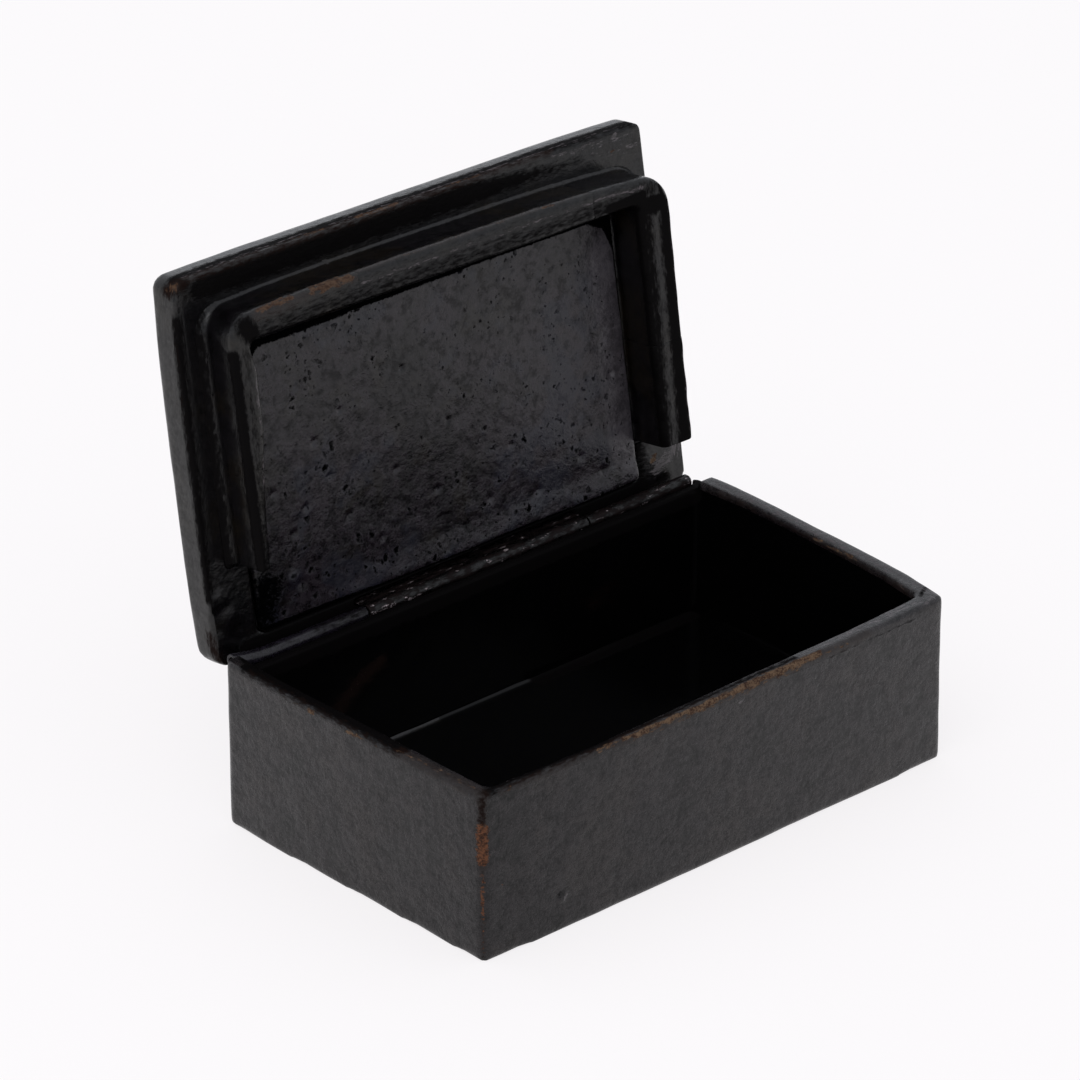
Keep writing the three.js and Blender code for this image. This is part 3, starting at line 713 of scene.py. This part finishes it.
class Finish:
    """A material in the making: its node tree, its shader and where a point lies."""

    def __init__(self, name):
        self.material = bpy.data.materials.new(name)
        self.material.use_nodes = True
        self.tree = self.material.node_tree
        self.shader = self.tree.nodes["Principled BSDF"]
        self.where = self.node("ShaderNodeTexCoord", {}, out="Object")

    def node(self, kind, settings, *places, out=0, **named):
        """Adds a node: its type, its settings, then what its sockets take."""
        node = self.tree.nodes.new(kind)
        for key, value in settings.items():
            setattr(node, key, value)
        values = list(enumerate(places))
        values += [(key.replace("_", " "), value) for key, value in named.items()]
        for key, value in values:
            if isinstance(value, Wire):
                self.tree.links.new(value.socket, node.inputs[key])
            elif value is not None:
                node.inputs[key].default_value = value
        return Wire(self, node.outputs[out])

    def noise(self, scale, detail=4.0, roughness=0.55, where=None):
        """Noise with features of about 1 / scale metres."""
        return self.node(
            "ShaderNodeTexNoise", {}, where or self.where,
            Scale=scale, Detail=detail, Roughness=roughness)

    def blend(self, amount, first, second):
        """A colour between two. The colour sockets of a Mix node are its 7th and 8th."""
        return self.node(
            "ShaderNodeMix", {"data_type": "RGBA"},
            amount, None, None, None, None, None, first, second, out=2)

    def along(self, axis):
        return self.node("ShaderNodeSeparateXYZ", {}, self.where, out=axis)

    def marks(self):
        """The four amounts that the strokes left: tan, brown, pale, and the dull black that also stands
        for painted shade.
        """
        wear = self.node("ShaderNodeAttribute", {"attribute_name": "wear"}, out="Color")
        matte = self.node("ShaderNodeAttribute", {"attribute_name": "wear"}, out="Alpha")
        split = [
            self.node("ShaderNodeSeparateColor", {}, wear, out=channel)
            for channel in ("Red", "Green", "Blue")
        ]
        return split + [matte]

    def proud(self):
        return self.node("ShaderNodeAttribute", {"attribute_name": "arris"}, out="Fac")

    def bump(self, height, strength, distance):
        return self.node(
            "ShaderNodeBump", {}, Height=height, Strength=strength, Distance=distance)

    def set(self, socket, value):
        self.shader.inputs[socket].default_value = value

    def deaden(self, amount, colour, normal):
        """Mixes the shader with a second one that has hardly any gloss."""
        dead = self.node(
            "ShaderNodeBsdfPrincipled", {}, Base_Color=colour, Roughness=0.7, Normal=normal,
            Specular_IOR_Level=0.0)
        glossy = Wire(self, self.shader.outputs[0])
        mixed = self.node("ShaderNodeMixShader", {}, amount, glossy, dead)
        output = self.tree.nodes["Material Output"].inputs["Surface"]
        self.tree.links.new(mixed.socket, output)


def grey(value):
    return (value, value, value, 1)


# %% [markdown]
# The lacquer is many thin black coats over brown papier-mache. It is satin outside, where hands have
# dulled it, and glossy inside, where its darker grey and weaker reflection are painted shade. Noise
# breaks the wear into ragged patches, because lacquer flakes and never fades evenly. That noise is drawn
# out along the edges, as the layers of the board lie. Where the gloss is lost, a dead black shows, and
# the same dead black is painted shade in the low spots of the ripples, towards the near corner of the
# box and under the strokes that paint shade.

# %% Black lacquer
BLACK = (0.0008, 0.0008, 0.0009, 1)
DEAD = (0.003, 0.0026, 0.0027, 1)
STAIN = (0.0085, 0.0045, 0.0036, 1)
BARE = (0.026, 0.0112, 0.0066, 1)
ORANGE = (0.112, 0.045, 0.022, 1)
TAN = (0.108, 0.067, 0.04, 1)
OCHRE = (0.072, 0.043, 0.027, 1)
OLIVE = (1.3, 1.15, 0.55, 1)
SCUFF = (0.02, 0.017, 0.0175, 1)
SCUFF_LIGHT = (0.08, 0.069, 0.072, 1)


def black_lacquer(name, soft, gloss, ripple, shine, side, side_grain, near_corner_shade, hollow_shade, aged):
    """Lacquer with the grey of its dull places, its roughness, the depth of its ripples, its shine, how
    far out its sides begin, which way their grain runs, how much painted shade darkens it towards its
    near corner, how much painted shade darkens the low spots of its ripples and how far age has yellowed
    it in clouds. The bare board is orange low on the box, tan along its top, duller on the lid."""
    lacquer = Finish(name)
    at_side = lacquer.along("X").size().between(side - 0.0002, side + 0.0002)
    grain = lacquer.blend(at_side, (0.3, 1, 1, 1), side_grain)
    drawn = lacquer.node(
        "ShaderNodeVectorMath", {"operation": "MULTIPLY"}, lacquer.where, grain)
    fibres = lacquer.noise(2600, 5, 0.65, drawn)
    grit = lacquer.noise(4600, 3, 0.6)
    mottling = lacquer.noise(1300, 5, 0.65)
    lumps = lacquer.noise(620, 3, 0.5)
    cloud = lacquer.noise(140, 4)
    tan, brown, pale, matte = lacquer.marks()
    torn = (fibres - 0.5) * 1.7
    bare = (tan + torn).between(0.42, 0.62)
    stained = (brown + torn * 0.8).between(0.3, 0.75)
    scuffed = (pale + torn).between(0.4, 0.7)
    rubbed = (lacquer.proud() + torn * 0.9 - matte * 2).between(1.0, 1.35) * 0.5
    dull = (grit * 0.35 + mottling * 0.25 + lumps * 0.2 + cloud * 0.2).between(0.36, 0.64)
    dead = (matte + (fibres - 0.5) * 1.1).between(0.2, 0.75)
    streaks = fibres.between(0.36, 0.64)
    # Painted shade in the low spots of the ripple noise.
    shaded_hollows = 1 - (lumps * 0.2 + mottling * 0.35 + grit * 0.45).between(0.38, 0.56)
    # Painted shade, darker towards the near front-left corner.
    corner = 1 - (lacquer.along("X") + lacquer.along("Y")).between(-0.075, 0.016)
    yellowed = lacquer.node(
        "ShaderNodeMix", {"data_type": "RGBA", "blend_type": "MULTIPLY"},
        cloud.between(0.46, 0.62) * aged, None, None, None, None, None, soft, OLIVE, out=2)
    coat = lacquer.blend(dull, BLACK, yellowed)
    coat = lacquer.blend(dead, coat, DEAD)
    coat = lacquer.blend(stained * 0.9, coat, STAIN)
    coat = lacquer.blend(
        scuffed.highest(rubbed), coat, lacquer.blend(streaks, SCUFF, SCUFF_LIGHT))
    height = lacquer.along("Z")
    board = lacquer.blend(height.between(0.0195, 0.0215), ORANGE, TAN)
    board = lacquer.blend(height.between(0.026, 0.03), board, OCHRE)
    speckled = (mottling + grit).between(0.82, 1.14)
    coat = lacquer.blend(bare, coat, lacquer.blend(speckled, BARE, board))
    coat.feed("Base Color")
    worn = bare.highest(scuffed * 0.6)
    (gloss + dull * 0.08 + worn * 0.3 + stained * 0.1).feed("Roughness")
    relief = lacquer.bump(
        lumps * 0.8 + mottling * 0.6 + grit * 0.2 + fibres * (worn + dead * 0.5) - worn * 0.8,
        1.0, ripple)
    relief.feed("Normal")
    lacquer.set("Specular IOR Level", shine)
    # Painted shade, shown as dead black.
    painted_shade = shaded_hollows * hollow_shade + corner * near_corner_shade
    lacquer.deaden(dead.highest(bare * 0.75).highest(painted_shade) * 0.95, coat, relief)
    return lacquer.material


ALONG_Y = (1, 0.3, 1, 1)
ALONG_Z = (1, 1, 0.3, 1)
box_lacquer = black_lacquer(
    "box lacquer", (0.0165, 0.0128, 0.0142, 1), 0.22, 0.00016, 0.4, 0.0385, ALONG_Y,
    0.26, 0.22, 0.15)
# The inside copy has a darker grey and much less shine than the outside: painted shade of the box's
# interior.
shaded_inside_lacquer = black_lacquer(
    "inside lacquer", (0.0012, 0.0011, 0.0012, 1), 0.1, 0.00001, 0.15, 0.0385, ALONG_Y,
    0.0, 0.15, 0.0)
lid_lacquer = black_lacquer(
    "lid lacquer", (0.0034, 0.0027, 0.0033, 1), 0.12, 0.00008, 0.38, 0.039, ALONG_Z,
    0.0, 0.3, 0.8)
rim_lacquer = black_lacquer(
    "rim lacquer", (0.0042, 0.0033, 0.0042, 1), 0.12, 0.00009, 0.34, 0.0325, ALONG_Z,
    0.0, 0.25, 1.0)
tube_lacquer = black_lacquer(
    "tube lacquer", (0.011, 0.0085, 0.014, 1), 0.24, 0.00002, 0.36, 0.06, ALONG_Z,
    0.0, 0.3, 0.0)
print("lacquers made")

# %% [markdown]
# The lining panel has kept a glossier coat with a violet cast, full of small round pits where bubbles
# burst in the lacquer. Voronoi cells make the pits; their dark centres are painted shade and the lighter
# ring round each is a painted highlight. They crowd together low down and at the left, where the lacquer
# lay thickest, and the lower left of the panel is darkened with painted shade.

# %% Panel lacquer


def pitted_lacquer():
    lining = Finish("panel lacquer")
    mottling = lining.noise(1100, 5, 0.65)
    shake = lining.node(
        "ShaderNodeTexNoise", {}, lining.where, Scale=900.0, Detail=3.0, out=1)
    shaken = lining.node(
        "ShaderNodeVectorMath", {"operation": "MULTIPLY_ADD"}, shake, (0.0014,) * 3, lining.where)
    large = lining.node("ShaderNodeTexVoronoi", {}, shaken, Scale=430.0)
    small = lining.node("ShaderNodeTexVoronoi", {}, shaken, Scale=1100.0)
    cloud = lining.noise(90, 4)
    patch = lining.noise(230, 4)
    grit = lining.noise(4200, 3, 0.6)
    lumps = lining.noise(620, 3, 0.5)
    tan, brown, pale, matte = lining.marks()
    low = 1 - lining.along("Z").between(0.024, 0.048)
    left = 1 - lining.along("X").between(-0.03, 0.02)
    crowd = (patch + low * 0.24 + left * 0.1).between(0.54, 0.7)
    ragged = (mottling - 0.5) * 0.6
    # The pits' dark centres are painted shade, and the lighter ring round each is a painted highlight.
    pits = (1 - (large + ragged).between(0.1, 0.2)) * crowd
    pinholes = (1 - (small + ragged).between(0.1, 0.22)) * (patch + low * 0.22).between(0.46, 0.62)
    holes = pits.highest(pinholes * 0.85)
    painted_lit_rims = (1 - (large + ragged - 0.28).size().between(0.02, 0.08)) * crowd
    tone = (cloud * 0.3 + lumps * 0.2 + mottling * 0.25 + grit * 0.25).between(0.42, 0.58)
    coat = lining.blend(tone, (0.0015, 0.001, 0.0015, 1), (0.0155, 0.0116, 0.0148, 1))
    coat = lining.blend(patch.between(0.5, 0.62) * 0.6, coat, (0.0115, 0.0092, 0.0078, 1))
    coat = lining.blend((cloud + patch).between(1.0, 1.2) * 0.6, coat, (0.0095, 0.0105, 0.0175, 1))
    coat = lining.blend(painted_lit_rims * 0.4, coat, (0.028, 0.024, 0.03, 1))
    # Pale strokes paint a sheen.
    coat = lining.blend(
        pale.between(0.05, 0.6) * (tone * 0.5 + 0.45), coat, (0.05, 0.044, 0.049, 1))
    # Dark strokes paint shade, as black without gloss.
    edge = (matte + (mottling + grit - 1) * 0.8).between(0.3, 0.6)
    coat = lining.blend(holes.highest(edge), coat, BLACK)
    coat.feed("Base Color")
    (0.16 + tone * 0.08).feed("Roughness")
    relief = lining.bump(
        mottling * 0.9 + grit * 0.2 + patch * 0.9 + low * patch * 1.8 - holes, 1.0, 0.00012)
    relief.feed("Normal")
    lining.set("Specular IOR Level", 0.36)
    # Painted shade in the low spots of the noise and over the low left of the panel.
    shaded_hollows = 1 - (lumps * 0.4 + mottling * 0.4 + grit * 0.2).between(0.4, 0.52)
    lining.deaden(holes.highest(edge).highest(shaded_hollows * 0.35 + low * left * 0.5), coat, relief)
    return lining.material


panel_lacquer = pitted_lacquer()

# %% [markdown]
# The other hinge tubes are dull metal, stained brown by the lacquer and bright in spots
# where it has flaked off.

# %% Hinge metal


def rubbed_metal():
    metal = Finish("hinge metal")
    drawn = metal.node("ShaderNodeMapping", {}, metal.where, Scale=(0.35, 1.0, 1.0))
    stain = metal.noise(1300, 5, 0.6, drawn)
    grit = metal.noise(3300, 4, 0.65)
    flakes = metal.noise(1500, 2, 0.5, drawn)
    bright = flakes.between(0.61, 0.75) * grit.between(0.46, 0.6)
    dull = metal.blend(stain.between(0.4, 0.64), (0.0016, 0.0012, 0.0012, 1), (0.009, 0.0062, 0.0062, 1))
    coat = metal.blend(bright * 0.9, dull, (0.5, 0.42, 0.43, 1))
    coat.feed("Base Color")
    (bright * 0.75).feed("Metallic")
    (0.22 + stain * 0.14).feed("Roughness")
    relief = metal.bump(stain * 0.9 + grit * 0.8, 1.0, 0.00009)
    relief.feed("Normal")
    metal.set("Specular IOR Level", 0.3)
    metal.deaden((1 - bright) * stain.between(0.4, 0.56) * 0.85, coat, relief)
    return metal.material


hinge_metal = rubbed_metal()

# %% Dress the pieces
dressing = [
    (box_lacquer, "lacquered_board", [walls_piece]),
    (shaded_inside_lacquer, "lacquered_board", [walls_piece, bottom_piece]),
    (lid_lacquer, "lacquered_board", [board_piece]),
    (rim_lacquer, "lacquered_board", rim_pieces + [bottom_piece]),
    (panel_lacquer, "panel_lacquer", [panel_piece]),
    (tube_lacquer, "hinge_metal", [left_tube]),
    (hinge_metal, "hinge_metal", other_tubes),
]
for finish, slot_name, dressed in dressing:
    for piece in dressed:
        piece.data.materials.append(finish)
# The inner faces of the walls take the inside lacquer, whose darkness is painted shade.
for face in walls_piece.data.polygons:
    towards = face.center.x * face.normal.x * 0.36 + face.center.y * face.normal.y
    face.material_index = 1 if face.center.z < 0.0232 and towards < -0.003 else 0
# At the left the floor's hollow curve takes the shinier rim lacquer, a painted highlight; elsewhere the
# floor keeps the darker inside lacquer.
for face in bottom_piece.data.polygons:
    face.material_index = 1 if 0.25 < face.normal.z < 0.97 and face.center.x < -0.008 else 0
pin = nodes["hinge_pin"]
pin.data.materials.clear()
pin.data.materials.append(hinge_metal)
print("dressed all pieces")

# %% [markdown]
# The photograph shows the box on a white ground. A large pale plane carries the soft
# shadow. What the camera and the gloss of the lacquer see of it shines by itself, so that
# the ground stays white without more light on the box.

# %% Floor and light
FLOOR_HALF = 1.5
GLOW_SHARE = 0.78

floor_mesh = bpy.data.meshes.new("floor")
floor_bm = bmesh.new()
bmesh.ops.create_grid(floor_bm, x_segments=1, y_segments=1, size=FLOOR_HALF)
floor_bm.to_mesh(floor_mesh)
floor_bm.free()
floor = bpy.data.objects.new("floor", floor_mesh)
bpy.context.scene.collection.objects.link(floor)


def seen_directly(finish):
    """1 for the camera, for reflections and for what is seen through glass."""
    rays = [
        finish.node("ShaderNodeLightPath", {}, out=name)
        for name in ("Is Camera Ray", "Is Glossy Ray", "Is Transmission Ray")
    ]
    return rays[0].highest(rays[1]).highest(rays[2])


floor_paint = Finish("floor paint")
floor_paint.set("Base Color", (0.945, 0.93, 0.915, 1))
floor_paint.set("Roughness", 0.9)
floor_paint.set("Specular IOR Level", 0.1)
glow = floor_paint.node("ShaderNodeEmission", {}, Color=(0.99, 0.966, 0.978, 1), Strength=1.0)
painted = Wire(floor_paint, floor_paint.shader.outputs[0])
ground = floor_paint.node(
    "ShaderNodeMixShader", {}, seen_directly(floor_paint) * GLOW_SHARE, painted, glow)
surface = floor_paint.tree.nodes["Material Output"].inputs["Surface"]
floor_paint.tree.links.new(ground.socket, surface)
floor_mesh.materials.append(floor_paint.material)

world = bpy.data.worlds.new("white studio")
world.use_nodes = True
bpy.context.scene.world = world
sky = world.node_tree.nodes["Background"]
sky.inputs["Color"].default_value = (0.91, 0.94, 1, 1)
sky.inputs["Strength"].default_value = 0.95


def soft_lamp(name, location, target, size, power):
    data = bpy.data.lights.new(name, "AREA")
    data.shape = "SQUARE"
    data.size = size
    data.energy = power
    lamp = bpy.data.objects.new(name, data)
    lamp.location = location
    direction = Vector(target) - Vector(location)
    lamp.rotation_euler = direction.to_track_quat("-Z", "Y").to_euler()
    bpy.context.scene.collection.objects.link(lamp)
    return lamp


soft_lamp("window", (-0.5, -0.2, 0.9), (0, 0, 0.03), 0.6, 2)

bpy.context.scene.view_settings.view_transform = "Standard"
